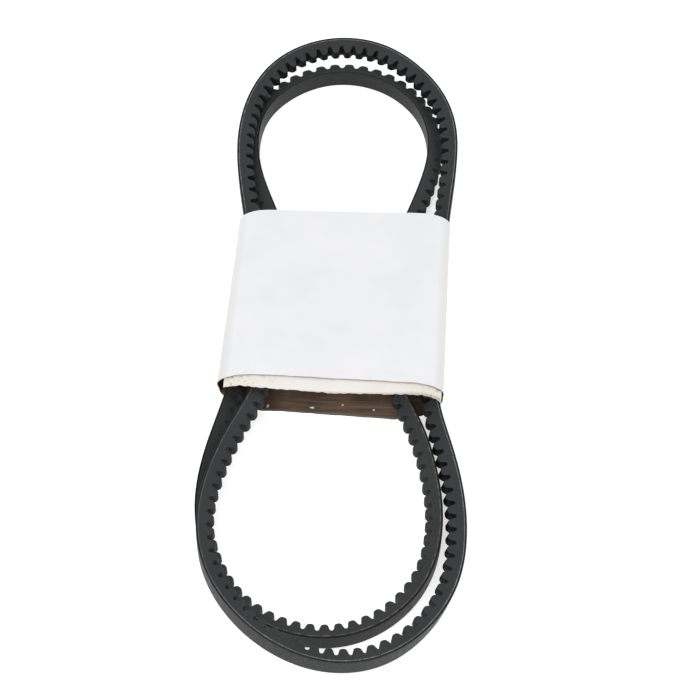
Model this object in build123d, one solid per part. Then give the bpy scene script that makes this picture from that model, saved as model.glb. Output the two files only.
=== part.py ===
from build123d import *

import os
from math import asin, atan2, degrees, hypot, radians, tan

import numpy as np

# A raw-edge cogged V-belt, coiled in two turns that stand on their edge, and held
# at the waist by a card sleeve. Millimetres, +Z up, the coil's length along Y.

# Belt section: depth is measured from the flat back towards the cogs.
TOP_WIDTH = 12.7
BELT_HEIGHT = 9.5
GROOVE_ANGLE = 40.0
COVER_THICKNESS = 0.9
CORD_SIZE = 1.0
CORD_PITCH = 1.6
CORD_COUNT = 7
CUSHION_THICKNESS = 0.7
PLY_GAP = 0.05
COG_PITCH = 8.14
COG_DEPTH = 4.3

# Gap between two cogs: a round bottom, straight walls, and round shoulders that stop
# a little short of flat, so that they meet the tips at a clear angle.
GAP_RADIUS = 1.2
SHOULDER_RADIUS = 2.0
SHOULDER_REACH = 3.6
SHOULDER_LIFT = 0.15
SHOULDER_END = 15.0

# Card sleeve: a flattened tube whose upper corners are quarter ellipses. Its near end
# slants, so that the top panel ends behind the bottom one, and the bottom panel's near
# corners are cut off.
SLEEVE_WIDTH = 126.0
SLEEVE_HEIGHT = 27.5
SLEEVE_LENGTH = 121.0
SLEEVE_CENTRE = (-0.8, 8.5)
SLEEVE_SKEW = -1.4
SLEEVE_SLANT = 7.5
SLEEVE_CUT_OFF = (22.0, 6.0)
SLEEVE_CORNER_WIDTH = 20.0
SLEEVE_CORNER_HEIGHT = 12.0
SLEEVE_BOTTOM_RADIUS = 1.2
CARD = 0.5
GLUE_THICKNESS = 0.15
FLAP_THICKNESS = 0.4
FLAP_WIDTH = 112.0
FLAP_REVEAL = 1.0
FLAP_SETBACK = 8.0
GLUE_WIDTH = 18.0
GLUE_CENTRE = -30.0

# Route of the section's centre, anticlockwise from above: x, y, the height of the
# section's lower edge, and the roll about the direction of travel in degrees. At
# roll 0 the cogs face into the coil. Inside the sleeve the inner strand rolls half
# a turn on each side, so the inner top arc runs with its cogs facing outward.
ROUTE = [
    (53.8, -51.0, 1.1, 0),
    (55.5, 10.0, 1.3, 0),
    (57.5, 72.0, 2.4, 0),
    (60.8, 105.0, 5.4, 0),
    (61.5, 135.0, 8.4, 0),
    (53.5, 163.5, 8.9, 0),
    (37.0, 185.5, 9.2, 0),
    (17.5, 199.0, 9.4, 0),
    (-4.0, 203.0, 9.5, 0),
    (-25.0, 198.0, 9.6, 0),
    (-44.0, 183.5, 9.6, 0),
    (-56.0, 161.0, 9.6, 0),
    (-61.0, 133.0, 9.6, 0),
    (-59.5, 103.0, 9.3, 0),
    (-54.0, 72.0, 6.3, 0),
    (-49.5, 10.0, 3.5, 0),
    (-57.0, -51.0, 0.9, 0),
    (-64.7, -84.0, 0.3, 0),
    (-67.5, -112.0, 0.0, 0),
    (-62.0, -142.0, 0.0, 0),
    (-46.5, -167.3, 0.0, 0),
    (-22.0, -183.2, 0.3, -2),
    (6.0, -186.2, 0.5, -3),
    (31.0, -175.4, 0.2, -1),
    (49.0, -153.7, 0.1, 0),
    (56.0, -125.0, 0.0, 0),
    (53.0, -93.0, 0.1, 0),
    (45.0, -66.0, 0.5, 0),
    (37.5, -49.0, 1.2, -4),
    (28.5, -20.0, 3.4, -38),
    (24.0, 10.0, 4.4, -90),
    (28.0, 42.0, 3.4, -142),
    (40.0, 75.0, 1.2, -176),
    (48.5, 101.0, 0.3, -180),
    (53.5, 130.0, 0.0, -180),
    (48.0, 158.3, 0.0, -180),
    (32.0, 179.3, 0.0, -180),
    (9.0, 190.8, 0.0, -180),
    (-15.0, 190.8, 0.0, -180),
    (-38.0, 179.0, 0.0, -180),
    (-53.5, 159.5, 0.0, -180),
    (-58.5, 132.0, 0.0, -180),
    (-53.5, 103.0, 0.3, -180),
    (-43.5, 75.0, 1.2, -184),
    (-36.9, 42.0, 3.8, -222),
    (-34.0, 10.0, 5.2, -270),
    (-36.0, -20.0, 6.8, -322),
    (-41.7, -49.0, 9.0, -356),
    (-51.0, -72.0, 10.6, -360),
    (-60.2, -98.0, 12.0, -360),
    (-64.6, -125.0, 13.2, -361),
    (-60.8, -152.3, 13.5, -363),
    (-47.0, -176.5, 13.5, -365),
    (-25.5, -194.5, 12.2, -366),
    (1.0, -203.0, 9.4, -364),
    (27.0, -199.0, 6.7, -361),
    (48.3, -183.3, 4.5, -355),
    (62.6, -159.8, 2.8, -350),
    (67.5, -131.0, 1.8, -346),
    (65.6, -103.0, 1.3, -346),
    (59.5, -75.0, 1.2, -352),
]
WHOLE_ROLL = -360.0

# Sampling of the belt's route, and of the segments that its plies are made of.
SEGMENTS = 20
EDGE_STEPS = 22
STEPS_PER_COG = 8
DENSE = 12000
CLEAR = 0.3

FLANK = tan(radians(GROOVE_ANGLE / 2))

# Depths at which the inner plies start.
CORD_TOP = COVER_THICKNESS + PLY_GAP
CUSHION_TOP = CORD_TOP + CORD_SIZE + PLY_GAP
COGGED_TOP = CUSHION_TOP + CUSHION_THICKNESS + PLY_GAP


def periodic_spline(knots, period, values, at):
    """Evaluate the periodic cubic spline through values at the parameters at."""
    count = len(knots)
    steps = np.diff(np.append(knots, knots[0] + period))
    system = np.zeros((count, count))
    right = np.zeros((count, values.shape[1]))
    for i in range(count):
        before = (i - 1) % count
        after = (i + 1) % count
        system[i, before] += steps[before]
        system[i, i] += 2 * (steps[before] + steps[i])
        system[i, after] += steps[i]
        rise = (values[after] - values[i]) / steps[i]
        right[i] = 6 * (rise - (values[i] - values[before]) / steps[before])
    bend = np.linalg.solve(system, right)
    at = np.mod(at, period)
    i = np.searchsorted(knots, at, side="right") - 1
    j = (i + 1) % count
    h = steps[i][:, None]
    b = ((at - knots[i])[:, None]) / h
    a = 1 - b
    curve = a * values[i] + b * values[j]
    return curve + ((a**3 - a) * bend[i] + (b**3 - b) * bend[j]) * h**2 / 6


def unit(vectors):
    """Scale each row to length one."""
    return vectors / np.linalg.norm(vectors, axis=1)[:, None]


def route_frames():
    """Section centre, inward normal and width direction at evenly spaced stations.

    The stations are evenly spaced along the cord line, which keeps its length when
    the belt bends, so the cogs are evenly pitched there too.
    """
    points = np.array(ROUTE, float)
    points[:, 2] += TOP_WIDTH / 2
    gaps = np.roll(points[:, :2], -1, axis=0) - points[:, :2]
    lengths = np.linalg.norm(gaps, axis=1)
    knots = np.concatenate([[0], np.cumsum(lengths)[:-1]])
    period = lengths.sum()
    points[:, 3] -= WHOLE_ROLL * knots / period

    def frames_at(at):
        rows = periodic_spline(knots, period, points, at)
        ahead = periodic_spline(knots, period, points, at + 0.05)[:, :3]
        behind = periodic_spline(knots, period, points, at - 0.05)[:, :3]
        travel = unit(ahead - behind)
        roll = np.radians(rows[:, 3] + WHOLE_ROLL * np.mod(at, period) / period)[:, None]
        left = unit(np.column_stack([-travel[:, 1], travel[:, 0], 0 * travel[:, 0]]))
        up = np.cross(travel, left)
        inward = np.cos(roll) * left + np.sin(roll) * up
        across = np.cos(roll) * up - np.sin(roll) * left
        return rows[:, :3], inward, across

    dense = np.linspace(0, period, DENSE + 1)
    centre, inward, _ = frames_at(dense)
    cord_depth = CORD_TOP + CORD_SIZE / 2
    cord_line = centre + (cord_depth - BELT_HEIGHT / 2) * inward
    hops = np.linalg.norm(np.diff(cord_line, axis=0), axis=1)
    along = np.concatenate([[0], np.cumsum(hops)])
    cogs = round(along[-1] / COG_PITCH)
    stations = np.linspace(0, along[-1], cogs * STEPS_PER_COG, endpoint=False)
    return frames_at(np.interp(stations, along, dense)), cogs, along[-1]


(CENTRE, INWARD, ACROSS), COGS, BELT_LENGTH = route_frames()
STATIONS = len(CENTRE)


def half_width(depth):
    """Half the belt's width at a depth below its back."""
    return TOP_WIDTH / 2 - depth * FLANK


def section_points(stations, depth, side):
    """Points at a depth below the back and a distance to the side of the middle."""
    i = np.mod(stations, STATIONS)
    return CENTRE[i] + (depth - BELT_HEIGHT / 2) * INWARD[i] + side * ACROSS[i]


def segment_bounds():
    """The first station of each segment, on a cog's tip, and the end of the last."""
    tips = [round(COGS * k / SEGMENTS) for k in range(SEGMENTS + 1)]
    return [tip * STEPS_PER_COG for tip in tips]


def corner_edge(first, last, depth, side):
    """A spline edge along one corner of a segment, smooth with its neighbours."""
    picked = np.linspace(first, last, EDGE_STEPS + 1).astype(int)
    points = section_points(picked, depth, side)
    before, start = section_points(np.array([first - 1, first + 1]), depth, side)
    end, after = section_points(np.array([last - 1, last + 1]), depth, side)
    return Edge.make_spline(
        [Vector(*p) for p in points],
        tangents=[Vector(*(start - before)), Vector(*(after - end))],
        parameters=[float(p) for p in (picked - first) / (last - first)],
    )


def ring(corners):
    """A closed ring whose section is the polygon of corners (depth, side)."""
    faces = []
    bounds = segment_bounds()
    for first, last in zip(bounds, bounds[1:]):
        edges = [corner_edge(first, last, depth, side) for depth, side in corners]
        for edge, following in zip(edges, edges[1:] + edges[:1]):
            faces.append(Face.make_surface_from_curves(edge, following))
    return Solid(Shell(faces))


def ply(top, bottom):
    """A ply between two depths, from flank to flank."""
    return ring([
        (top, -half_width(top)),
        (top, half_width(top)),
        (bottom, half_width(bottom)),
        (bottom, -half_width(bottom)),
    ])


def back_cover():
    """The flat fabric-faced cover over the cords."""
    return ply(0, COVER_THICKNESS)


def tension_cords():
    """The runs of the endless cord, side by side under the cover."""
    bottom = CORD_TOP + CORD_SIZE
    runs = []
    for k in range(CORD_COUNT):
        middle = (k - (CORD_COUNT - 1) / 2) * CORD_PITCH
        low = middle - CORD_SIZE / 2
        high = middle + CORD_SIZE / 2
        runs.append(ring([(CORD_TOP, low), (CORD_TOP, high), (bottom, high), (bottom, low)]))
    return Compound(children=runs)


def cushion_rubber():
    """The adhesion rubber that beds the cords."""
    return ply(CUSHION_TOP, CUSHION_TOP + CUSHION_THICKNESS)


def gap_cutter():
    """The gap between two cogs, standing a little proud of the tips and the flanks.

    X runs along the belt, and Y points out past the tips.
    """
    floor_y = GAP_RADIUS - COG_DEPTH
    shoulder_y = SHOULDER_LIFT - SHOULDER_RADIUS
    rise = shoulder_y - floor_y
    apart = hypot(SHOULDER_REACH, rise)
    wall = degrees(atan2(rise, SHOULDER_REACH) + asin((GAP_RADIUS + SHOULDER_RADIUS) / apart))
    turn = wall - SHOULDER_END
    with BuildSketch(Plane.XY) as gap:
        with BuildLine():
            floor = CenterArc((0, floor_y), GAP_RADIUS, -90 - wall, 2 * wall)
            right = CenterArc((SHOULDER_REACH, shoulder_y), SHOULDER_RADIUS, 90 + wall, -turn)
            left = CenterArc((-SHOULDER_REACH, shoulder_y), SHOULDER_RADIUS, 90 - wall, turn)
            Line(floor @ 1, right @ 0)
            Line(floor @ 0, left @ 0)
            Polyline(right @ 1, ((right @ 1).X, CLEAR), ((left @ 1).X, CLEAR), left @ 1)
        make_face()
    low = -COG_DEPTH - CLEAR
    wide = half_width(BELT_HEIGHT + low) + CLEAR
    narrow = half_width(BELT_HEIGHT + CLEAR) + CLEAR
    with BuildSketch(Plane.YZ) as flanks:
        with BuildLine():
            Polyline((low, -wide), (CLEAR, -narrow), (CLEAR, narrow), (low, wide), close=True)
        make_face()
    bar = extrude(gap.sketch, TOP_WIDTH, both=True)
    return bar & extrude(flanks.sketch, COG_PITCH, both=True)


def compression_rubber():
    """The body of the belt, with rounded gaps moulded into its inner face."""
    cutter = gap_cutter()
    gaps = []
    for station in range(STEPS_PER_COG // 2, STATIONS, STEPS_PER_COG):
        tip = section_points(station, BELT_HEIGHT, 0)
        travel = np.cross(INWARD[station], ACROSS[station])
        place = Plane(origin=Vector(*tip), x_dir=Vector(*travel), z_dir=Vector(*ACROSS[station]))
        gaps.append(cutter.moved(place.location))
    return ply(COGGED_TOP, BELT_HEIGHT).cut(*gaps)


def sleeve_outline(inset):
    """The sleeve's section as a face in the XZ plane, drawn in by inset."""
    half = SLEEVE_WIDTH / 2 - inset
    high = SLEEVE_HEIGHT - inset
    wide = SLEEVE_CORNER_WIDTH - inset
    deep = SLEEVE_CORNER_HEIGHT - inset
    round_off = SLEEVE_BOTTOM_RADIUS - inset
    low = inset + round_off
    with BuildSketch(Plane.XZ) as sketch:
        with BuildLine():
            EllipticalCenterArc((half - wide, high - deep), wide, deep, 0, arc_size=90)
            Line((half - wide, high), (-half + wide, high))
            EllipticalCenterArc((-half + wide, high - deep), wide, deep, 90, arc_size=90)
            Line((-half, high - deep), (-half, low))
            CenterArc((-half + round_off, low), round_off, 180, 90)
            Line((-half + round_off, inset), (half - round_off, inset))
            CenterArc((half - round_off, low), round_off, 270, 90)
            Line((half, low), (half, high - deep))
        make_face()
    return sketch.sketch


def placed(shape):
    """Turn a sleeve piece by the skew and move it to the sleeve's place."""
    x, y = SLEEVE_CENTRE
    return Pos(x, y, 0) * Rot(0, 0, SLEEVE_SKEW) * shape


def sleeve_band():
    """The closed card band around all four strands."""
    long = SLEEVE_LENGTH / 2
    wide = SLEEVE_WIDTH / 2
    cut_x, cut_y = SLEEVE_CUT_OFF
    section = sleeve_outline(0) - sleeve_outline(CARD)
    slant = -long + SLEEVE_SLANT
    with BuildSketch(Plane.YZ) as side:
        with BuildLine():
            Polyline((-long, 0), (long, 0), (long, SLEEVE_HEIGHT), (slant, SLEEVE_HEIGHT), close=True)
        make_face()
    with BuildSketch(Plane.XY) as plan:
        with BuildLine():
            Polyline(
                (-wide, long), (-wide, cut_y - long), (cut_x - wide, -long),
                (wide - cut_x, -long), (wide, cut_y - long), (wide, long), close=True,
            )
        make_face()
    tube = extrude(section, long, both=True)
    return placed(tube & extrude(side.sketch, wide, both=True) & extrude(plan.sketch, SLEEVE_HEIGHT))


def glue_strip():
    """The glue between the band's top panel and the flap under it."""
    near = -SLEEVE_LENGTH / 2 + SLEEVE_SLANT + 1
    far = SLEEVE_LENGTH / 2 - FLAP_SETBACK
    middle = (GLUE_CENTRE, (near + far) / 2, SLEEVE_HEIGHT - CARD - GLUE_THICKNESS / 2)
    return placed(Pos(*middle) * Box(GLUE_WIDTH, far - near, GLUE_THICKNESS))


def under_flap():
    """The card's lapped end under the top panel, showing at the near edge."""
    top = CARD + GLUE_THICKNESS
    shell = sleeve_outline(top) - sleeve_outline(top + FLAP_THICKNESS)
    near = -SLEEVE_LENGTH / 2 - FLAP_REVEAL
    far = SLEEVE_LENGTH / 2 - FLAP_SETBACK
    region = Pos(0, (near + far) / 2, SLEEVE_HEIGHT) * Box(FLAP_WIDTH, far - near, SLEEVE_HEIGHT)
    return placed(extrude(shell, SLEEVE_LENGTH, both=True) & region)


PARTS = {
    "back_cover": back_cover,
    "tension_cords": tension_cords,
    "cushion_rubber": cushion_rubber,
    "compression_rubber": compression_rubber,
    "sleeve_band": sleeve_band,
    "under_flap": under_flap,
    "glue_strip": glue_strip,
}

os.makedirs("parts", exist_ok=True)
for name, make in PARTS.items():
    export_step(make(), f"parts/{name}.step")
print("cogs", COGS, "length along the cords", round(BELT_LENGTH, 1))
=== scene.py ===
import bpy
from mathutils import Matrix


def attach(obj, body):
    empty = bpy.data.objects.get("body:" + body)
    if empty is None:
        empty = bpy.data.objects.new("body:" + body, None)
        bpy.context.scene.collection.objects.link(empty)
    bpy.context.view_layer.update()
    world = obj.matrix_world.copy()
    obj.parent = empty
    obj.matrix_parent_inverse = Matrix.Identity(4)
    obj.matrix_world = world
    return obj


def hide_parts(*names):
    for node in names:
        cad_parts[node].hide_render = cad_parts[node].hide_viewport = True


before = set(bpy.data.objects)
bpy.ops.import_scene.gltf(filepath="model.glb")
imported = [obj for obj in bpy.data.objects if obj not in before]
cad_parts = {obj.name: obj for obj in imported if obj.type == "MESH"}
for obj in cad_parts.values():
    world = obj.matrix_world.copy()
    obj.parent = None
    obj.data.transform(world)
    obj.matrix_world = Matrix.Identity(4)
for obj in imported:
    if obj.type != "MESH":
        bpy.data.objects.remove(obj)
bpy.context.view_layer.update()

from math import asin, atan2, cos, hypot, pi, radians, sin, tan

import bpy
import numpy as np
from mathutils import Matrix, Vector

# A raw-edge cogged V-belt in a card sleeve. Lengths here are in millimetres, as in
# the CAD source, and MM turns them into Blender's metres.
MM = 0.001

TOP_WIDTH = 12.7
BELT_HEIGHT = 9.5
FLANK = tan(radians(20))
COVER_BOTTOM = 0.95
CORD_DEPTH = 1.45
COGGED_TOP = 2.75
COG_PITCH = 8.14
COG_DEPTH = 4.3
COGS = 231
WHOLE_ROLL = -360.0

# The belt's route, closed: x, y, height of the section's lower edge, roll in degrees.
ROUTE = [
    (53.8, -51.0, 1.1, 0),
    (55.5, 10.0, 1.3, 0),
    (57.5, 72.0, 2.4, 0),
    (60.8, 105.0, 5.4, 0),
    (61.5, 135.0, 8.4, 0),
    (53.5, 163.5, 8.9, 0),
    (37.0, 185.5, 9.2, 0),
    (17.5, 199.0, 9.4, 0),
    (-4.0, 203.0, 9.5, 0),
    (-25.0, 198.0, 9.6, 0),
    (-44.0, 183.5, 9.6, 0),
    (-56.0, 161.0, 9.6, 0),
    (-61.0, 133.0, 9.6, 0),
    (-59.5, 103.0, 9.3, 0),
    (-54.0, 72.0, 6.3, 0),
    (-49.5, 10.0, 3.5, 0),
    (-57.0, -51.0, 0.9, 0),
    (-64.7, -84.0, 0.3, 0),
    (-67.5, -112.0, 0.0, 0),
    (-62.0, -142.0, 0.0, 0),
    (-46.5, -167.3, 0.0, 0),
    (-22.0, -183.2, 0.3, -2),
    (6.0, -186.2, 0.5, -3),
    (31.0, -175.4, 0.2, -1),
    (49.0, -153.7, 0.1, 0),
    (56.0, -125.0, 0.0, 0),
    (53.0, -93.0, 0.1, 0),
    (45.0, -66.0, 0.5, 0),
    (37.5, -49.0, 1.2, -4),
    (28.5, -20.0, 3.4, -38),
    (24.0, 10.0, 4.4, -90),
    (28.0, 42.0, 3.4, -142),
    (40.0, 75.0, 1.2, -176),
    (48.5, 101.0, 0.3, -180),
    (53.5, 130.0, 0.0, -180),
    (48.0, 158.3, 0.0, -180),
    (32.0, 179.3, 0.0, -180),
    (9.0, 190.8, 0.0, -180),
    (-15.0, 190.8, 0.0, -180),
    (-38.0, 179.0, 0.0, -180),
    (-53.5, 159.5, 0.0, -180),
    (-58.5, 132.0, 0.0, -180),
    (-53.5, 103.0, 0.3, -180),
    (-43.5, 75.0, 1.2, -184),
    (-36.9, 42.0, 3.8, -222),
    (-34.0, 10.0, 5.2, -270),
    (-36.0, -20.0, 6.8, -322),
    (-41.7, -49.0, 9.0, -356),
    (-51.0, -72.0, 10.6, -360),
    (-60.2, -98.0, 12.0, -360),
    (-64.6, -125.0, 13.2, -361),
    (-60.8, -152.3, 13.5, -363),
    (-47.0, -176.5, 13.5, -365),
    (-25.5, -194.5, 12.2, -366),
    (1.0, -203.0, 9.4, -364),
    (27.0, -199.0, 6.7, -361),
    (48.3, -183.3, 4.5, -355),
    (62.6, -159.8, 2.8, -350),
    (67.5, -131.0, 1.8, -346),
    (65.6, -103.0, 1.3, -346),
    (59.5, -75.0, 1.2, -352),
]


# ---------------------------------------------------------------- the belt's route
def periodic_spline(knots, period, values, at):
    """Evaluate the periodic cubic spline through values at the parameters at."""
    count = len(knots)
    steps = np.diff(np.append(knots, knots[0] + period))
    system = np.zeros((count, count))
    right = np.zeros((count, values.shape[1]))
    for i in range(count):
        before = (i - 1) % count
        after = (i + 1) % count
        system[i, before] += steps[before]
        system[i, i] += 2 * (steps[before] + steps[i])
        system[i, after] += steps[i]
        rise = (values[after] - values[i]) / steps[i]
        right[i] = 6 * (rise - (values[i] - values[before]) / steps[before])
    bend = np.linalg.solve(system, right)
    at = np.mod(at, period)
    i = np.searchsorted(knots, at, side="right") - 1
    j = (i + 1) % count
    h = steps[i][:, None]
    b = ((at - knots[i])[:, None]) / h
    a = 1 - b
    curve = a * values[i] + b * values[j]
    return curve + ((a**3 - a) * bend[i] + (b**3 - b) * bend[j]) * h**2 / 6


def unit(vectors):
    """Scale each row to length one."""
    return vectors / np.linalg.norm(vectors, axis=1)[:, None]


# The route is sampled at this many places to measure its length, and its direction is
# taken between two places this far, in millimetres, before and after each one.
LENGTH_SAMPLES = 12001
SLOPE_STEP = 0.05


class Route:
    """The belt's frames as a function of the distance along its cords, in pitches."""

    def __init__(self):
        points = np.array(ROUTE, float)
        points[:, 2] += TOP_WIDTH / 2
        gaps = np.roll(points[:, :2], -1, axis=0) - points[:, :2]
        lengths = np.linalg.norm(gaps, axis=1)
        self.knots = np.concatenate([[0], np.cumsum(lengths)[:-1]])
        self.period = lengths.sum()
        points[:, 3] -= WHOLE_ROLL * self.knots / self.period
        self.points = points
        self.dense = np.linspace(0, self.period, LENGTH_SAMPLES)
        centre, inward, _ = self.frames_at(self.dense)
        cord_line = centre + (CORD_DEPTH - BELT_HEIGHT / 2) * inward
        hops = np.linalg.norm(np.diff(cord_line, axis=0), axis=1)
        self.along = np.concatenate([[0], np.cumsum(hops)])
        self.length = self.along[-1]

    def frames_at(self, at):
        """Middle of the section, and the directions inward and across, at parameters."""
        rows = periodic_spline(self.knots, self.period, self.points, at)
        ahead = periodic_spline(self.knots, self.period, self.points, at + SLOPE_STEP)[:, :3]
        behind = periodic_spline(self.knots, self.period, self.points, at - SLOPE_STEP)[:, :3]
        travel = unit(ahead - behind)
        turned = rows[:, 3] + WHOLE_ROLL * np.mod(at, self.period) / self.period
        roll = np.radians(turned)[:, None]
        left = unit(np.column_stack([-travel[:, 1], travel[:, 0], 0 * travel[:, 0]]))
        up = np.cross(travel, left)
        inward = np.cos(roll) * left + np.sin(roll) * up
        across = np.cos(roll) * up - np.sin(roll) * left
        return rows[:, :3], inward, across

    def at_pitches(self, pitches):
        """Frames at distances along the cords given in cog pitches."""
        distance = np.asarray(pitches) * self.length / COGS
        return self.frames_at(np.interp(distance, self.along, self.dense))


ROUTE_FRAMES = Route()


def half_width(depth):
    """Half the belt's width at a depth below its back."""
    return TOP_WIDTH / 2 - np.asarray(depth) * FLANK


# ---------------------------------------------------------------- mesh helpers
def add_mesh(name, points, quads, materials, body, sharp=35, kinds=None, uv=None):
    """A shown piece from points in millimetres and quads, riding on a CAD body."""
    points = np.asarray(points, float) * MM
    quads = np.asarray(quads, int)
    mesh = bpy.data.meshes.new(name)
    mesh.vertices.add(len(points))
    mesh.vertices.foreach_set("co", points.ravel())
    mesh.loops.add(quads.size)
    mesh.loops.foreach_set("vertex_index", quads.ravel())
    mesh.polygons.add(len(quads))
    mesh.polygons.foreach_set("loop_start", np.arange(len(quads)) * 4)
    mesh.update(calc_edges=True)
    mesh.validate()
    for material in materials:
        mesh.materials.append(material)
    if kinds is not None:
        mesh.polygons.foreach_set("material_index", np.asarray(kinds, int))
    if uv is not None:
        layer = mesh.uv_layers.new(name="belt")
        layer.data.foreach_set("uv", np.asarray(uv, float).ravel())
    mesh.shade_smooth()
    mesh.set_sharp_from_angle(angle=radians(sharp))
    piece = bpy.data.objects.new(name, mesh)
    bpy.context.scene.collection.objects.link(piece)
    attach(piece, body)
    return piece


def ring_piece(name, pitches, depth, side, materials, sharp=35, kinds=None):
    """A closed ring along the belt. depth and side are (stations, corners).

    kinds gives the material of the strip after each corner.
    """
    centre, inward, across = ROUTE_FRAMES.at_pitches(pitches)
    count, corners = depth.shape
    points = (
        centre[:, None, :]
        + (depth - BELT_HEIGHT / 2)[:, :, None] * inward[:, None, :]
        + side[:, :, None] * across[:, None, :]
    )
    i = np.arange(count)[:, None]
    j = np.arange(corners)[None, :]
    here = i * corners
    ahead = ((i + 1) % count) * corners
    following = (j + 1) % corners
    quads = np.stack(
        [here + j, ahead + j, ahead + following, here + following], axis=-1
    ).reshape(-1, 4)
    run = np.append(pitches, COGS) * ROUTE_FRAMES.length / COGS * MM
    girth = np.linalg.norm(
        np.column_stack([np.diff(depth[0], append=depth[0, 0]),
                         np.diff(side[0], append=side[0, 0])]), axis=1)
    girth = np.concatenate([[0], np.cumsum(girth)]) * MM
    u = np.stack([run[i], run[i + 1], run[i + 1], run[i]], axis=-1)
    v = np.stack([girth[j], girth[j], girth[j + 1], girth[j + 1]], axis=-1)
    u, v = np.broadcast_arrays(u, v)
    uv = np.stack([u, v], axis=-1).reshape(-1, 2)
    if kinds is not None:
        kinds = np.tile(kinds, count)
    return add_mesh(name, points.reshape(-1, 3), quads, materials, "belt", sharp, kinds, uv)


# ---------------------------------------------------------------- node helpers
class Nodes:
    """One material, with short calls that add its nodes."""

    def __init__(self, name):
        self.material = bpy.data.materials.new(name)
        self.material.use_nodes = True
        self.tree = self.material.node_tree
        self.tree.nodes.clear()
        self.out = self.add("ShaderNodeOutputMaterial")
        self.shader = self.add("ShaderNodeBsdfPrincipled")
        self.link(self.shader.outputs[0], self.out.inputs["Surface"])

    def add(self, kind, **settings):
        node = self.tree.nodes.new(kind)
        for key, value in settings.items():
            setattr(node, key, value)
        return node

    def link(self, source, target):
        self.tree.links.new(source, target)

    def put(self, target, value):
        """Link a socket, or set a plain value, on an input."""
        if isinstance(value, bpy.types.NodeSocket):
            self.link(value, target)
        else:
            target.default_value = value

    def coordinates(self, uv=None, scale=(1, 1, 1)):
        if uv:
            source = self.add("ShaderNodeUVMap", uv_map=uv).outputs["UV"]
        else:
            source = self.add("ShaderNodeTexCoord").outputs["Object"]
        mapping = self.add("ShaderNodeMapping")
        mapping.inputs["Scale"].default_value = scale
        self.link(source, mapping.inputs["Vector"])
        return mapping.outputs["Vector"]

    def noise(self, vector, scale, detail=3, roughness=0.5):
        node = self.add("ShaderNodeTexNoise")
        self.link(vector, node.inputs["Vector"])
        node.inputs["Scale"].default_value = scale
        node.inputs["Detail"].default_value = detail
        node.inputs["Roughness"].default_value = roughness
        return node.outputs["Fac"]

    def math(self, operation, a, b=0.0, c=None):
        node = self.add("ShaderNodeMath", operation=operation)
        self.put(node.inputs[0], a)
        self.put(node.inputs[1], b)
        if c is not None:
            self.put(node.inputs[2], c)
        return node.outputs[0]

    def span(self, value, low, high, to_low=0.0, to_high=1.0):
        """Map a value from one span to another, and clamp it."""
        node = self.add("ShaderNodeMapRange")
        self.put(node.inputs["Value"], value)
        node.inputs["From Min"].default_value = low
        node.inputs["From Max"].default_value = high
        node.inputs["To Min"].default_value = to_low
        node.inputs["To Max"].default_value = to_high
        return node.outputs["Result"]

    def mix(self, factor, a, b):
        node = self.add("ShaderNodeMix", data_type="RGBA")
        self.put(node.inputs["Factor"], factor)
        colour_inputs = [s for s in node.inputs if s.type == "RGBA"]
        for socket, value in zip(colour_inputs, (a, b)):
            self.put(socket, value)
        return [s for s in node.outputs if s.type == "RGBA"][0]

    def bump(self, height, strength, distance):
        node = self.add("ShaderNodeBump")
        node.inputs["Strength"].default_value = strength
        node.inputs["Distance"].default_value = distance
        self.link(height, node.inputs["Height"])
        return node.outputs["Normal"]

    def finish(self, colour, roughness, normal=None, specular=0.5, **more):
        self.put(self.shader.inputs["Base Color"], colour)
        self.put(self.shader.inputs["Roughness"], roughness)
        self.shader.inputs["Specular IOR Level"].default_value = specular
        if normal is not None:
            self.link(normal, self.shader.inputs["Normal"])
        for key, value in more.items():
            self.shader.inputs[key.replace("_", " ")].default_value = value
        return self.material


def rgb(red, green, blue):
    """A colour given as display values from 0 to 255, as the linear colour."""
    out = []
    for value in (red, green, blue):
        share = value / 255
        out.append(share / 12.92 if share <= 0.04045 else ((share + 0.055) / 1.055) ** 2.4)
    return (*out, 1.0)


# ---------------------------------------------------------------- materials
# Stretches of belt, in metres along the cords, where the cut cord is coloured darker:
# start, end, darkest and lightest colour. The two from 0.56 to 1.04 are painted shade,
# where the inner loop lies in shadow under the outer one; the other two are duller than the rest of the
# cord.
CORD_SHADE_AND_DULL_STRETCHES = (
    (0.560, 0.720, (44, 46, 46), (56, 58, 58)),
    (0.720, 1.040, (52, 50, 46), (118, 109, 97)),
    (1.470, 1.620, (70, 74, 73), (96, 102, 100)),
    (0.290, 0.470, (88, 92, 90), (126, 132, 129)),
)

# The stretch, in metres along the cords, where the fabric back is painted darker as shade, where the
# inner loop lies under the outer one.
SHADED_BACK = (0.600, 1.040)

# How far, in metres, a stretch takes to fade in or out on each side of its ends.
STRETCH_FADE = 0.02

# The skewed sleeve's middle line, in metres: X + SKEW_SLOPE * Y + SKEW_OFFSET is 0 there.
SKEW_SLOPE = -0.0244
SKEW_OFFSET = 0.001

# How far a point is behind the lower panel's near edge, in metres:
# Y + LOWER_EDGE_SLOPE * X + LOWER_EDGE_Y.
LOWER_EDGE_SLOPE = 0.037
LOWER_EDGE_Y = 0.05235

# The torn layer's near edge, in metres, is at Y = FLAP_BOW * X * X - FLAP_NEAR_Y.
FLAP_BOW = 0.78
FLAP_NEAR_Y = 0.0534


def stretch(n, start, end):
    """1 between two distances along the belt in metres, and 0 elsewhere, softly."""
    split = n.add("ShaderNodeSeparateXYZ")
    n.link(n.add("ShaderNodeUVMap", uv_map="belt").outputs["UV"], split.inputs[0])
    rise = n.span(split.outputs["X"], start - STRETCH_FADE, start + STRETCH_FADE)
    fall = n.span(split.outputs["X"], end - STRETCH_FADE, end + STRETCH_FADE, 1.0, 0.0)
    return n.math("MULTIPLY", rise, fall)


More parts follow.
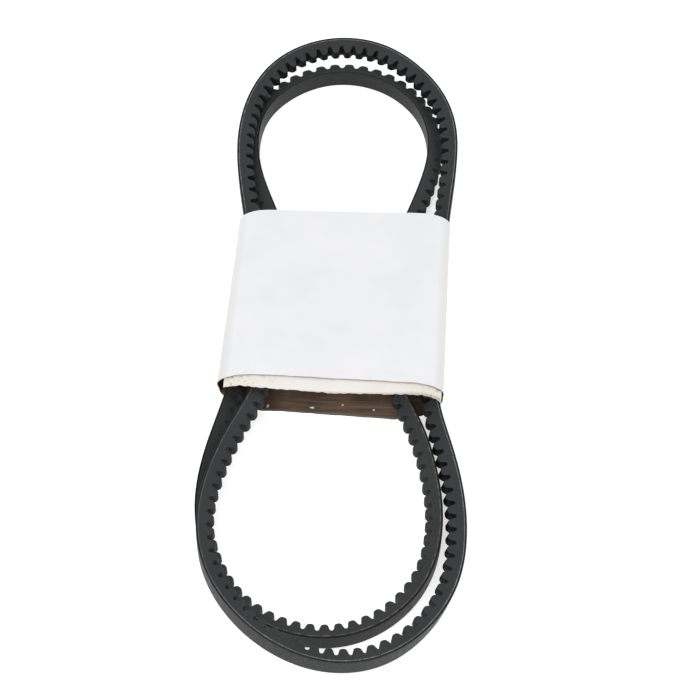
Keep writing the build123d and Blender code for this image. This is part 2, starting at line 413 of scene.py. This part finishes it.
def rubber_material(name, dark, light, streak, specular=0.4):
    """Charcoal rubber with short fibres, dust and faint cutting streaks."""
    n = Nodes(name)
    place = n.coordinates()
    along = n.coordinates("belt", (60, 2600, 1))
    cloud = n.span(n.noise(place, 28, 3), 0.35, 0.65)
    speck = n.noise(place, 1500, 2, 0.6)
    lines = n.noise(along, 1, 3, 0.6)
    tone = n.math("MULTIPLY_ADD", cloud, 0.45, 0.1)
    tone = n.math("MULTIPLY_ADD", n.span(speck, 0.3, 0.7), 0.25, tone)
    tone = n.math("MULTIPLY_ADD", n.span(lines, 0.3, 0.7), streak, tone)
    base = n.mix(tone, dark, light)
    fibre = n.span(n.noise(n.coordinates("belt", (900, 300, 1)), 1, 1), 0.72, 0.8)
    base = n.mix(n.math("MULTIPLY", fibre, 0.35), base, rgb(112, 114, 110))
    rough = n.span(speck, 0.3, 0.7, 0.5, 0.72)
    grain = n.math("MULTIPLY_ADD", n.noise(place, 2600, 2), 0.6, n.math("MULTIPLY", lines, 0.5))
    return n.finish(base, rough, n.bump(grain, 0.25, 0.0001), specular)


def cover_material():
    """The rubbered fabric back: a fine bias weave under rubber, faintly streaked, with painted shade
    over one stretch.
    """
    n = Nodes("cover_fabric")
    place = n.coordinates()
    cloud = n.span(n.noise(place, 22, 3), 0.35, 0.65)
    streak = n.span(n.noise(n.coordinates("belt", (35, 1500, 1)), 1, 3, 0.6), 0.3, 0.7)
    tone = n.math("MULTIPLY_ADD", cloud, 0.4, n.math("MULTIPLY", streak, 0.5))
    base = n.mix(tone, rgb(26, 27, 27), rgb(38, 39, 39))
    # Painted shade: the back is darker over the stretch that lies in shadow under the outer loop.
    base = n.mix(stretch(n, *SHADED_BACK), base, rgb(13, 14, 14))
    threads = []
    for turn in (0.5, -0.5):
        wave = n.add("ShaderNodeTexWave", wave_type="BANDS", bands_direction="X")
        wave.inputs["Scale"].default_value = 1.0
        mapping = n.add("ShaderNodeMapping")
        mapping.inputs["Rotation"].default_value = (0, 0, turn * pi / 2)
        mapping.inputs["Scale"].default_value = (700, 700, 1)
        n.link(n.add("ShaderNodeUVMap", uv_map="belt").outputs["UV"], mapping.inputs["Vector"])
        n.link(mapping.outputs["Vector"], wave.inputs["Vector"])
        threads.append(wave.outputs["Fac"])
    weave = n.math("MULTIPLY", threads[0], threads[1])
    grain = n.math("MULTIPLY_ADD", n.noise(place, 1800, 2), 0.5, weave)
    rough = n.span(n.noise(place, 900, 2), 0.3, 0.7, 0.42, 0.6)
    return n.finish(base, rough, n.bump(grain, 0.25, 0.00012), 0.2)


def cord_material(name, dark, light):
    """Pale polyester fibre with dark rubber between its strands, with painted shade in some stretches
    and duller colour in others.
    """
    n = Nodes(name)
    place = n.coordinates()
    strand = n.noise(n.coordinates("belt", (1400, 900, 1)), 1, 2)
    soiled = n.span(n.noise(place, 120, 3, 0.6), 0.35, 0.7)
    base = n.mix(n.span(strand, 0.35, 0.65), dark, light)
    base = n.mix(n.math("MULTIPLY", soiled, 0.6), base, rgb(70, 72, 69))
    stretch_patches = n.span(n.noise(n.coordinates("belt", (260, 1, 1)), 1, 2), 0.4, 0.6)
    # Painted shade, and duller colour, in stretches of the cut cord.
    for start, end, darkest, lightest in CORD_SHADE_AND_DULL_STRETCHES:
        shade_and_dull = n.mix(stretch_patches, rgb(*darkest), rgb(*lightest))
        base = n.mix(stretch(n, start, end), base, shade_and_dull)
    return n.finish(base, 0.6, n.bump(strand, 0.5, 0.0001), 0.4)


def card_material():
    """White coated card: faint cool mottling, a soft sheen, and painted shade towards its side walls."""
    n = Nodes("card_white")
    place = n.coordinates()
    mottle = n.span(n.noise(place, 35, 4, 0.55), 0.3, 0.7)
    grain = n.noise(place, 900, 3, 0.6)
    base = n.mix(mottle, rgb(240, 241, 244), rgb(247, 247, 249))
    base = n.mix(n.span(grain, 0.66, 0.8, 0, 0.12), base, rgb(206, 206, 208))
    # Painted shade: the card turns greyer towards its left and right side walls.
    split = n.add("ShaderNodeSeparateXYZ")
    n.link(place, split.inputs[0])
    aside = n.math("MULTIPLY_ADD", split.outputs["Y"], SKEW_SLOPE, split.outputs["X"])
    outward = n.math("ABSOLUTE", n.math("ADD", aside, SKEW_OFFSET))
    base = n.mix(n.span(outward, 0.056, 0.0626), base, rgb(220, 219, 215))
    rough = n.span(grain, 0.3, 0.7, 0.42, 0.55)
    height = n.math("MULTIPLY_ADD", n.noise(place, 60, 3), 1.2, grain)
    return n.finish(base, rough, n.bump(height, 0.08, 0.0003), 0.35)


def kraft_material():
    """The brown inside of the card: long fibres, worn streaks and pale flecks, with painted light on the
    side walls near the near edge.
    """
    n = Nodes("card_kraft")
    place = n.coordinates()
    fibre = n.noise(n.coordinates(scale=(60, 900, 900)), 1, 4, 0.65)
    cloud = n.span(n.noise(place, 45, 4, 0.6), 0.3, 0.7)
    base = n.mix(cloud, rgb(82, 65, 51), rgb(112, 92, 75))
    base = n.mix(n.span(fibre, 0.45, 0.75, 0, 0.3), base, rgb(168, 150, 128))
    streak = n.span(n.noise(n.coordinates(scale=(14, 420, 420)), 1, 3), 0.58, 0.7, 0, 0.22)
    base = n.mix(streak, base, rgb(182, 172, 158))
    fleck = n.span(n.noise(n.coordinates(scale=(120, 260, 120)), 1, 2), 0.76, 0.79)
    base = n.mix(fleck, base, rgb(236, 230, 220))
    split = n.add("ShaderNodeSeparateXYZ")
    n.link(place, split.inputs[0])
    lean = n.math("MULTIPLY_ADD", split.outputs["X"], LOWER_EDGE_SLOPE, LOWER_EDGE_Y)
    edge = n.math("ADD", split.outputs["Y"], lean)
    base = n.mix(n.span(edge, 0.0006, 0.0013, 0.75, 0.0), base, rgb(132, 130, 126))
    # Painted light: the inner face of each side wall is lighter near the near edge.
    outward = n.span(n.math("ABSOLUTE", split.outputs["X"]), 0.0595, 0.0605)
    frontal = n.span(split.outputs["Y"], -0.0455, -0.0400, 1.0, 0.0)
    base = n.mix(n.math("MULTIPLY", outward, frontal), base, rgb(206, 204, 200))
    grain = n.math("MULTIPLY_ADD", n.noise(place, 1300, 2), 0.5, fibre)
    return n.finish(base, n.span(fibre, 0.3, 0.7, 0.7, 0.9), n.bump(grain, 0.4, 0.0002), 0.25)


def core_material():
    """The cut edge of the card: grey-brown pulp."""
    n = Nodes("card_core")
    place = n.coordinates()
    pulp = n.noise(place, 1600, 3, 0.6)
    base = n.mix(n.span(pulp, 0.35, 0.65), rgb(150, 144, 138), rgb(206, 202, 198))
    return n.finish(base, 0.85, n.bump(pulp, 0.5, 0.0002), 0.2)


def flap_material():
    """Ivory torn card, pinkish-brown and speckled towards its ends, with painted shade along its near
    edge.
    """
    n = Nodes("card_ivory")
    place = n.coordinates()
    split = n.add("ShaderNodeSeparateXYZ")
    n.link(n.add("ShaderNodeTexCoord").outputs["Object"], split.inputs[0])
    far_out = n.span(n.math("ABSOLUTE", split.outputs["X"]), 0.030, 0.058)
    pulp = n.noise(place, 700, 4, 0.65)
    cloud = n.span(n.noise(place, 60, 3), 0.3, 0.7)
    base = n.mix(cloud, rgb(243, 238, 232), rgb(249, 246, 242))
    base = n.mix(n.math("MULTIPLY", far_out, 0.6), base, rgb(238, 224, 210))
    speck = n.math("MULTIPLY", n.span(n.noise(place, 420, 3, 0.7), 0.56, 0.66), far_out)
    base = n.mix(n.math("MULTIPLY", speck, 0.8), base, rgb(152, 126, 102))
    # Painted shade along the torn near edge, standing in for the shade of its curl.
    bow = n.math("MULTIPLY", n.math("MULTIPLY", split.outputs["X"], split.outputs["X"]), -FLAP_BOW)
    from_edge = n.math("ADD", n.math("ADD", split.outputs["Y"], FLAP_NEAR_Y), bow)
    base = n.mix(n.span(from_edge, 0.0, 0.0016, 0.6, 0.0), base, rgb(176, 164, 152))
    return n.finish(base, n.span(pulp, 0.3, 0.7, 0.65, 0.85), n.bump(pulp, 0.45, 0.0003), 0.25)


def fleck_material():
    """Torn white paper fibre."""
    n = Nodes("paper_scrap")
    pulp = n.noise(n.coordinates(), 900, 3, 0.6)
    base = n.mix(n.span(pulp, 0.35, 0.7), rgb(240, 236, 230), rgb(252, 251, 249))
    return n.finish(base, 0.85, n.bump(pulp, 0.5, 0.0002), 0.2)


def glue_material():
    """Dried hot glue: yellowish, slightly cloudy and glossier than the card."""
    n = Nodes("glue")
    place = n.coordinates()
    cloud = n.noise(place, 150, 3)
    base = n.mix(n.span(cloud, 0.3, 0.7), rgb(214, 202, 168), rgb(232, 224, 200))
    return n.finish(base, n.span(cloud, 0.3, 0.7, 0.25, 0.5), n.bump(cloud, 0.4, 0.0002), 0.5)


def floor_material():
    """A plain pale floor, with a little glow of its own to keep shadows faint."""
    n = Nodes("floor")
    place = n.coordinates()
    base = n.mix(n.noise(place, 3, 2), rgb(246, 246, 246), rgb(249, 249, 249))
    return n.finish(base, 0.9, None, 0.1, Emission_Color=(1, 1, 1, 1), Emission_Strength=0.6)


# ---------------------------------------------------------------- belt pieces
def plain_section(corners, count):
    """The same corners (depth, side) at every station."""
    corners = np.array(corners, float)
    return np.tile(corners[:, 0], (count, 1)), np.tile(corners[:, 1], (count, 1))


def mirrored(half):
    """A closed outline from its half with side above 0, listed from back to cogs."""
    return [(d, -s) for d, s in half[::-1]] + list(half)


PLAIN_PER_COG = 5
PLAIN_PITCHES = np.arange(COGS * PLAIN_PER_COG) / PLAIN_PER_COG

# Hidden flat faces of a ply have a corner this far from the belt's middle line.
FLAT_CORNER = 2.0

# The slit left between the cushion and the plies above and below it.
PLY_SLIT = 0.02

# Depth below the back, and how far the cushion's flank stands back there.
CUSHION_FLANK = ((0.97, 0.14), (1.08, 0.14), (1.2, 0.1), (1.62, 0.1), (1.74, 0.0), (2.73, 0.0))


def make_cover(material):
    """The back cover: a slightly crowned back with small rounded corners."""
    top = float(half_width(0))
    chamfer = 0.07
    half = [
        (0.0, 0.6),
        (0.02, 3.2),
        (0.05, top - 1.0),
        (0.08, top - 0.42),
        (0.16, top - 0.2),
        (0.34, float(half_width(0.34)) - 0.03),
        (0.6, float(half_width(0.6))),
        (COVER_BOTTOM - chamfer, float(half_width(COVER_BOTTOM - chamfer))),
        (COVER_BOTTOM, float(half_width(COVER_BOTTOM)) - chamfer),
        (COVER_BOTTOM, FLAT_CORNER),
    ]
    depth, side = plain_section(mirrored(half), len(PLAIN_PITCHES))
    piece = ring_piece("belt_back_cover", PLAIN_PITCHES, depth, side, [material])
    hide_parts("back_cover")


def make_cushion(material):
    """The rubber round the cords, with a shallow groove where the cut cord shows."""
    half = [(COVER_BOTTOM + PLY_SLIT, FLAT_CORNER)]
    for depth, inset in CUSHION_FLANK:
        half.append((depth, float(half_width(depth)) - inset))
    half.append((COGGED_TOP - PLY_SLIT, FLAT_CORNER))
    depth, side = plain_section(mirrored(half), len(PLAIN_PITCHES))
    piece = ring_piece("belt_cushion", PLAIN_PITCHES, depth, side, [material])
    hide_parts("cushion_rubber")


def wander(pitches, waves, seed):
    """A smooth closed random signal along the belt, about -1 to 1."""
    random = np.random.default_rng(seed)
    turns = 2 * pi * np.asarray(pitches) / COGS
    total = 0 * turns
    for wave in waves:
        total = total + np.sin(wave * turns + random.uniform(0, 2 * pi)) / len(waves) ** 0.5
    return total


def make_cord_edges(bright, dull):
    """The cut cord on each flank: an uneven line, and a fainter one on the other side."""
    per_cog = 8
    corners = 8
    for name, sign, seed, radius, material in (
        ("belt_cord_edge_a", 1, 3, 0.26, bright),
        ("belt_cord_edge_b", -1, 8, 0.12, dull),
    ):
        pitches = np.arange(COGS * per_cog) / per_cog
        size = 1 + 0.22 * wander(pitches, (170, 263, 411, 667, 890), seed)
        drift = 0.05 * wander(pitches, (7, 19, 43, 91), seed + 1)
        middle = CORD_DEPTH - 0.06 + drift
        angles = np.linspace(0, 2 * pi, corners, endpoint=False)
        depth = middle[:, None] + radius * size[:, None] * np.cos(angles)
        out = half_width(middle)[:, None] - 0.1 + 0.6 * radius * size[:, None] * np.sin(angles)
        side = sign * out
        if sign < 0:
            depth, side = depth[:, ::-1], side[:, ::-1]
        piece = ring_piece(name, pitches, depth, side, [material], 180)


def cog_profile():
    """Positions in a pitch, from one cog's tip to the next, and depths there."""
    tip_round = 2.0
    land = 0.45
    root_round = 1.2
    steps = 7
    reach = COG_PITCH / 2 - land
    rise = COG_DEPTH - root_round - tip_round
    wall = atan2(rise, reach) + asin((root_round + tip_round) / hypot(reach, rise))
    half = [(0.0, 0.0)]
    for k in range(steps + 1):
        angle = wall * k / steps
        half.append((land + tip_round * sin(angle), tip_round * (1 - cos(angle))))
    for k in range(steps, -1, -1):
        angle = wall * k / steps
        half.append((COG_PITCH / 2 - root_round * sin(angle), COG_DEPTH - root_round * (1 - cos(angle))))
    whole = half + [(COG_PITCH - x, drop) for x, drop in half[-2:0:-1]]
    whole = np.array(whole)
    return whole[:, 0] / COG_PITCH, BELT_HEIGHT - whole[:, 1]


def make_cogs(ground, moulded):
    """The cogged body of the belt: ground flanks, and a moulded inner face."""
    place, level = cog_profile()
    pitches = (np.arange(COGS)[:, None] + place[None, :]).ravel()
    level = np.tile(level, COGS)
    bevel = 0.3
    bevel_drop = 0.09
    bevel_inset = 0.1
    rows_depth = []
    rows_side = []
    for share in (0.0, 0.35, 0.7, 1.0):
        depth = COGGED_TOP + (level - bevel - COGGED_TOP) * share
        rows_depth.append(depth)
        rows_side.append(half_width(depth))
    rows_depth.append(level - bevel_drop)
    rows_side.append(half_width(level - bevel_drop) - bevel_inset)
    edge = half_width(level) - bevel
    for share in (1.0, 0.45):
        rows_depth.append(level)
        rows_side.append(edge * share)
    depth = np.stack(rows_depth, axis=1)
    side = np.stack(rows_side, axis=1)
    depth = np.concatenate([depth[:, ::-1], depth], axis=1)
    side = np.concatenate([-side[:, ::-1], side], axis=1)
    middle = depth.shape[1] // 2
    order = np.r_[middle:depth.shape[1], 0:middle]
    depth = depth[:, order]
    on_level = np.isclose(depth[0], level[0])
    kinds = (on_level & np.roll(on_level, -1)).astype(int)
    piece = ring_piece("belt_cogs", pitches, depth, side[:, order], [ground, moulded], 50, kinds)
    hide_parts("compression_rubber")


# ---------------------------------------------------------------- sleeve pieces
# The sleeve is made square to the axes about X = 0, then skewed about PIVOT_Y and shifted.
SLEEVE_WIDTH = 125.0
SLEEVE_HEIGHT = 27.5
SLEEVE_X = -0.8
SLEEVE_SKEW = radians(-1.4)
PIVOT_Y = 8.5
CORNER_WIDTH = 20.0
CORNER_HEIGHT = 12.0
BOTTOM_RADIUS = 1.6
CARD = 0.4

# Each side narrows towards the far end by its taper, a share of X per millimetre of Y,
# and the right side is nearer the middle by a constant share too.
LEFT_TAPER = 0.0003
RIGHT_TAPER = 0.00003
RIGHT_SHARE = 0.9968

# The near edge runs from TOP_NEAR_END on the top panel down the side walls, between the
# heights EDGE_LOW and EDGE_LOW + EDGE_CLIMB, to the lower panel's edge in the table, which
# bows towards the near end. At the left corner the top panel reaches LEFT_REACH further.
FAR_END = 68.9
FAR_SLANT = 0.035
TOP_NEAR_END = -44.5
LEFT_REACH = 1.2
EDGE_LOW = 1.0
EDGE_CLIMB = 17.0
BOTTOM_EDGE_X = (-62.5, -58, -52, -38, -25, 1, 21, 36, 51, 58, 62.5)
BOTTOM_EDGE_Y = (-41.2, -45.5, -49.3, -52.0, -51.8, -52.3, -52.8, -53.0, -49.8, -45.5, -40.2)

# The top panel sags by SAG in its middle and has faint dents and shallow creases. A crease
# is its distance from the near edge, its half width, and where it starts and ends in X.
SAG = 0.28
DENTS = 0.09
TOP_BAND = 2.5
CREASES = ((11.5, 0.7, -48, -18), (6.5, 0.6, 22, 58), (13.5, 0.8, 6, 40))
CREASE_DEPTH = 0.16
CREASE_FADE = 8


def corner_rows(centre_x, wide, deep, start, end, steps, centre_z=None):
    """Rows of x, z and outward normal round an elliptical corner."""
    if centre_z is None:
        centre_z = SLEEVE_HEIGHT - CORNER_HEIGHT
    rows = []
    for k in range(steps + 1):
        angle = radians(start + (end - start) * k / steps)
        normal = Vector((cos(angle) / wide, sin(angle) / deep)).normalized()
        rows.append((centre_x + wide * cos(angle), centre_z + deep * sin(angle), *normal))
    return rows


def sleeve_loop():
    """The sleeve's outer outline, clockwise seen from the near end, with normals.

    Each row is x, z, and the outward normal's x and z.
    """
    half = SLEEVE_WIDTH / 2
    rows = []

    def run(x0, z0, x1, z1, nx, nz, steps):
        for k in range(1, steps):
            share = k / steps
            rows.append((x0 + (x1 - x0) * share, z0 + (z1 - z0) * share, nx, nz))

    w, h, b = CORNER_WIDTH, CORNER_HEIGHT, BOTTOM_RADIUS
    high = SLEEVE_HEIGHT
    rows += corner_rows(-half + w, w, h, 180, 90, 24)
    run(-half + w, high, half - w, high, 0, 1, 46)
    rows += corner_rows(half - w, w, h, 90, 0, 24)
    run(half, high - h, half, b, 1, 0, 8)
    rows += corner_rows(half - b, b, b, 0, -90, 5, b)
    run(half - b, 0, -half + b, 0, 0, -1, 60)
    rows += corner_rows(-half + b, b, b, -90, -180, 5, b)
    run(-half, b, -half, high - h, -1, 0, 8)
    return np.array(rows)


def turned(points):
    """Narrow each side by its own taper, skew about PIVOT_Y, and shift in X."""
    y, z = points[..., 1] - PIVOT_Y, points[..., 2]
    x = points[..., 0]
    x = x * np.where(x > 0, RIGHT_SHARE * (1 - RIGHT_TAPER * y), 1 - LEFT_TAPER * y)
    c, s = cos(SLEEVE_SKEW), sin(SLEEVE_SKEW)
    return np.stack([x * c - y * s + SLEEVE_X, x * s + y * c + PIVOT_Y, z], axis=-1)


def ripple(x, seed, waves):
    """A repeatable uneven line along x, about -1 to 1, with its waves counted per span."""
    span = 130.0
    random = np.random.default_rng(seed)
    total = 0 * x
    for wave in waves:
        total = total + np.sin(2 * pi * wave * x / span + random.uniform(0, 2 * pi))
    return total / len(waves) ** 0.5


def sheet_quads(rows, count, closed):
    """Quads of a sheet with two skins of rows by count points, and their materials.

    The inner skin's points follow the outer's. The materials are 0 for the outer skin,
    1 for the inner one and 2 for the cut edges.
    """
    base = rows * count
    last = base - count
    columns = range(count if closed else count - 1)
    quads = []
    kinds = []
    for a in range(0, last, count):
        b = a + count
        for c in columns:
            d = (c + 1) % count
            quads.append((a + c, a + d, b + d, b + c))
            quads.append((base + a + c, base + b + c, base + b + d, base + a + d))
            kinds += [0, 1]
    for c in columns:
        d = (c + 1) % count
        quads.append((c, base + c, base + d, d))
        quads.append((last + c, last + d, base + last + d, base + last + c))
        kinds += [2, 2]
    if not closed:
        end = count - 1
        for a in range(0, last, count):
            b = a + count
            quads.append((a, b, base + b, base + a))
            quads.append((a + end, base + a + end, base + b + end, b + end))
            kinds += [2, 2]
    return quads, kinds


def make_sleeve(white, kraft, core):
    """The card band: white outside, brown inside, cut edges at both ends."""
    loop = sleeve_loop()
    x, z, nx, nz = loop.T
    height = np.clip((z - EDGE_LOW) / EDGE_CLIMB, 0, 1)
    smooth = height**2 * (3 - 2 * height)
    left_end = np.clip((-x - 40) / 20, 0, 1)
    bottom_edge = np.interp(x, BOTTOM_EDGE_X, BOTTOM_EDGE_Y)
    near = bottom_edge + (TOP_NEAR_END - bottom_edge - LEFT_REACH * left_end) * smooth
    near = near + 0.12 * ripple(x, 5, (3, 7, 16))
    far = FAR_END + FAR_SLANT * x + 0.1 * ripple(x, 6, (2, 5, 13))
    lengths = np.concatenate([[0, 0.004, 0.012], np.linspace(0.03, 0.97, 60), [0.988, 0.996, 1]])
    y = near[None, :] + (far - near)[None, :] * lengths[:, None]
    on_top = np.clip((z - (SLEEVE_HEIGHT - TOP_BAND)) / TOP_BAND, 0, 1)[None, :]
    across = x[None, :] / (SLEEVE_WIDTH / 2)
    mid_length = 0.6 + 0.4 * np.cos(pi * (lengths[:, None] - 0.5))
    sag = SAG * (1 - np.clip(across, -1, 1) ** 2) * mid_length
    sag = sag + DENTS * (1 + ripple(x[None, :] + 0.35 * y, 11, (2, 3, 5)))
    from_edge = y - near[None, :]
    for middle, reach, start, end in CREASES:
        side = np.clip((x - start) / CREASE_FADE, 0, 1) * np.clip((end - x) / CREASE_FADE, 0, 1)
        line = middle + 0.02 * (x - start) + 0.3 * np.sin(x / 9)
        sag = sag + CREASE_DEPTH * side * np.exp(-((from_edge - line) / reach) ** 2)
    drop = on_top * sag
    shape = y.shape
    outer = np.stack([np.broadcast_to(x, shape), y, np.broadcast_to(z, shape) - drop], axis=-1)
    inner = outer - CARD * np.stack([nx, 0 * nx, nz], axis=-1)[None]
    points = np.concatenate([outer.reshape(-1, 3), inner.reshape(-1, 3)])
    quads, kinds = sheet_quads(*shape, closed=True)
    piece = add_mesh("sleeve_card", turned(points), quads, [white, kraft, core], "sleeve", 40, kinds)
    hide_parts("sleeve_band")


# The torn layer lies FLAP_GAP inside the outer face. It starts FLAP_START degrees round the
# left top corner and stops FLAP_STOP degrees round the right one, counted from the X axis.
# Its ragged near edge follows the table, and its far end is hidden.
FLAP_GAP = CARD + 0.62
FLAP_START = 146
FLAP_STOP = 8
FLAP_FAR_END = 52.0
FLAP_CURL = 0.5
FLAP_EDGE_X = (-60, -50, -40, -20, 4, 26, 47, 60)
FLAP_EDGE_Y = (-50.6, -51.5, -52.0, -52.7, -53.2, -52.2, -51.4, -50.6)


def make_flap(material):
    """The torn inner layer of the card, showing in front of the top panel's edge."""
    half = SLEEVE_WIDTH / 2
    wide, deep = CORNER_WIDTH - FLAP_GAP, CORNER_HEIGHT - FLAP_GAP
    rows = corner_rows(-half + CORNER_WIDTH, wide, deep, FLAP_START, 90, 40)
    straight = np.linspace(-half + CORNER_WIDTH, half - CORNER_WIDTH, 200)[1:-1]
    rows += [(v, SLEEVE_HEIGHT - FLAP_GAP, 0, 1) for v in straight]
    rows += corner_rows(half - CORNER_WIDTH, wide, deep, 90, FLAP_STOP, 54)
    x, z, nx, nz = np.array(rows).T
    ragged = 0.24 * ripple(x, 21, (4, 9, 17, 29)) + 0.14 * np.abs(ripple(x, 22, (41, 67, 93)))
    near = np.interp(x, FLAP_EDGE_X, FLAP_EDGE_Y) + ragged
    lengths = np.array([0, 0.003, 0.008, 0.016, 0.03, 0.05, 0.075, 0.1, 0.14, 0.3, 0.6, 1.0])
    y = near[None, :] + (FLAP_FAR_END - near)[None, :] * lengths[:, None]
    curl = FLAP_CURL * np.clip(1 - lengths / 0.08, 0, 1)[:, None] ** 2
    thin = 0.18 + 0.22 * np.clip(lengths / 0.02, 0, 1)[:, None]
    fray = 0.07 * ripple(x, 31, (23, 47, 83))[None, :] * np.clip(1 - lengths / 0.03, 0, 1)[:, None]
    sag = SAG * (1 - (x / half) ** 2)[None, :] + 0.1
    shape = y.shape
    offset = -(curl * 0.6) + fray - sag * np.abs(nz)[None, :]
    normal = np.stack([nx, 0 * nx, nz], axis=-1)[None]
    outer = np.stack([np.broadcast_to(x, shape), y, np.broadcast_to(z, shape)], axis=-1)
    outer = outer + offset[..., None] * normal
    inner = outer - (thin * np.ones(shape))[..., None] * normal
    points = np.concatenate([outer.reshape(-1, 3), inner.reshape(-1, 3)])
    quads, _ = sheet_quads(*shape, closed=False)
    piece = add_mesh("sleeve_flap", turned(points), quads, [material], "sleeve", 50)
    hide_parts("under_flap")


# Scraps of torn paper stuck on the lower panel: x, y, half length and half width.
FLECKS = (
    (-34.8, -48.8, 0.7, 1.3),
    (-10.3, -48.3, 1.2, 0.6),
    (6.4, -45.6, 0.55, 0.65),
    (24.1, -47.7, 0.6, 0.6),
)

# The rings of a scrap: height over the card's inner face, and share of its outline.
FLECK_RINGS = ((-0.05, 1.0), (0.12, 0.85), (0.26, 0.4))


def make_flecks(material):
    """Small irregular scraps of white paper on the brown lower panel."""
    random = np.random.default_rng(12)
    sides = 14
    points = []
    quads = []
    for x, y, wide, deep in FLECKS:
        angles = np.linspace(0, 2 * pi, sides, endpoint=False)
        reach = 1 + random.uniform(-0.3, 0.3, sides)
        base = len(points)
        for rise, share in FLECK_RINGS:
            for angle, far in zip(angles, reach):
                along, across = wide * share * far * cos(angle), deep * share * far * sin(angle)
                points.append((x + along, y + across, CARD + rise))
        for ring in range(len(FLECK_RINGS) - 1):
            for k in range(sides):
                a, b = base + ring * sides + k, base + ring * sides + (k + 1) % sides
                quads.append((a, b, b + sides, a + sides))
        top = base + 2 * sides
        for k in range(sides // 2 - 1):
            near, far = (k, k + 1), (sides - 2 - k, sides - 1 - k)
            quads.append((top + near[0], top + near[1], top + far[0], top + far[1]))
            quads.append((base + far[1], base + far[0], base + near[1], base + near[0]))
    piece = add_mesh("sleeve_flecks", turned(np.array(points)), quads, [material], "sleeve", 60)


# ---------------------------------------------------------------- stage
WORLD_STRENGTH = 0.70

# Each lamp's name, place in metres, diameter and power. They face the origin.
LAMPS = (
    ("key", (-0.5, -0.7, 1.3), 0.9, 6.0),
    ("fill", (0.9, 0.2, 1.1), 0.8, 2.0),
)

# The view: degrees above the horizon and turned to the right, the point on the floor
# that it faces, how far away the camera is, in metres, and its lens in millimetres.
VIEW_HEIGHT = radians(58.0)
VIEW_TURN = radians(2.2)
VIEW_CENTRE = (0.007, -0.009, 0.0)
VIEW_DISTANCE = 1.0069
LENS = 90.617


def make_floor(material):
    """A wide floor, just under the lowest point of the belt."""
    size = 4000.0
    points = [(-size, -size, 0), (size, -size, 0), (size, size, 0), (-size, size, 0)]
    mesh = bpy.data.meshes.new("floor")
    mesh.from_pydata([Vector(p) * MM for p in points], [], [(0, 1, 2, 3)])
    mesh.materials.append(material)
    floor = bpy.data.objects.new("floor", mesh)
    bpy.context.scene.collection.objects.link(floor)
    floor.location.z = -0.0002


def add_lamp(name, position, size, power):
    """A round soft lamp that faces the origin."""
    light = bpy.data.lights.new(name, "AREA")
    light.shape = "DISK"
    light.size = size
    light.energy = power
    lamp = bpy.data.objects.new(name, light)
    bpy.context.scene.collection.objects.link(lamp)
    lamp.location = position
    lamp.rotation_euler = (-Vector(position)).to_track_quat("-Z", "Y").to_euler()


def make_lights():
    """A white world and two soft lamps."""
    world = bpy.data.worlds.new("studio")
    world.use_nodes = True
    background = world.node_tree.nodes["Background"]
    background.inputs["Color"].default_value = (1, 1, 1, 1)
    background.inputs["Strength"].default_value = WORLD_STRENGTH
    bpy.context.scene.world = world
    for lamp in LAMPS:
        add_lamp(*lamp)


def make_camera():
    """A long lens that looks down at the coil from its near end."""
    level = cos(VIEW_HEIGHT)
    forward = Vector((-sin(VIEW_TURN) * level, cos(VIEW_TURN) * level, -sin(VIEW_HEIGHT)))
    right = Vector((cos(VIEW_TURN), sin(VIEW_TURN), 0))
    above = right.cross(forward)
    data = bpy.data.cameras.new("camera")
    data.sensor_width = 36.0
    data.lens = LENS
    data.clip_start = 0.05
    data.clip_end = 20.0
    camera = bpy.data.objects.new("camera", data)
    bpy.context.scene.collection.objects.link(camera)
    spot = Vector(VIEW_CENTRE) - forward * VIEW_DISTANCE
    turn = Matrix((right, above, -forward)).transposed()
    camera.matrix_world = Matrix.Translation(spot) @ turn.to_4x4()
    bpy.context.scene.camera = camera


# ---------------------------------------------------------------- build
make_camera()
make_lights()
make_floor(floor_material())
ground = rubber_material("belt_ground", rgb(40, 42, 43), rgb(55, 57, 58), 0.3, 0.3)
moulded = rubber_material("belt_moulded", rgb(22, 23, 24), rgb(34, 35, 36), 0.1, 0.2)
cushion = rubber_material("belt_cushion_rubber", rgb(42, 44, 45), rgb(57, 60, 60), 0.3, 0.3)
fibre = cord_material("cord_fibre", rgb(96, 104, 100), rgb(146, 154, 150))
dull_fibre = cord_material("cord_fibre_dull", rgb(48, 50, 50), rgb(78, 80, 78))
make_cover(cover_material())
make_cushion(cushion)
make_cord_edges(fibre, dull_fibre)
make_cogs(ground, moulded)
make_sleeve(card_material(), kraft_material(), core_material())
make_flap(flap_material())
make_flecks(fleck_material())
for node, material in (("tension_cords", fibre), ("glue_strip", glue_material())):
    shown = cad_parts[node]
    shown.data.materials.clear()
    shown.data.materials.append(material)

bpy.context.scene.view_settings.view_transform = "Standard"
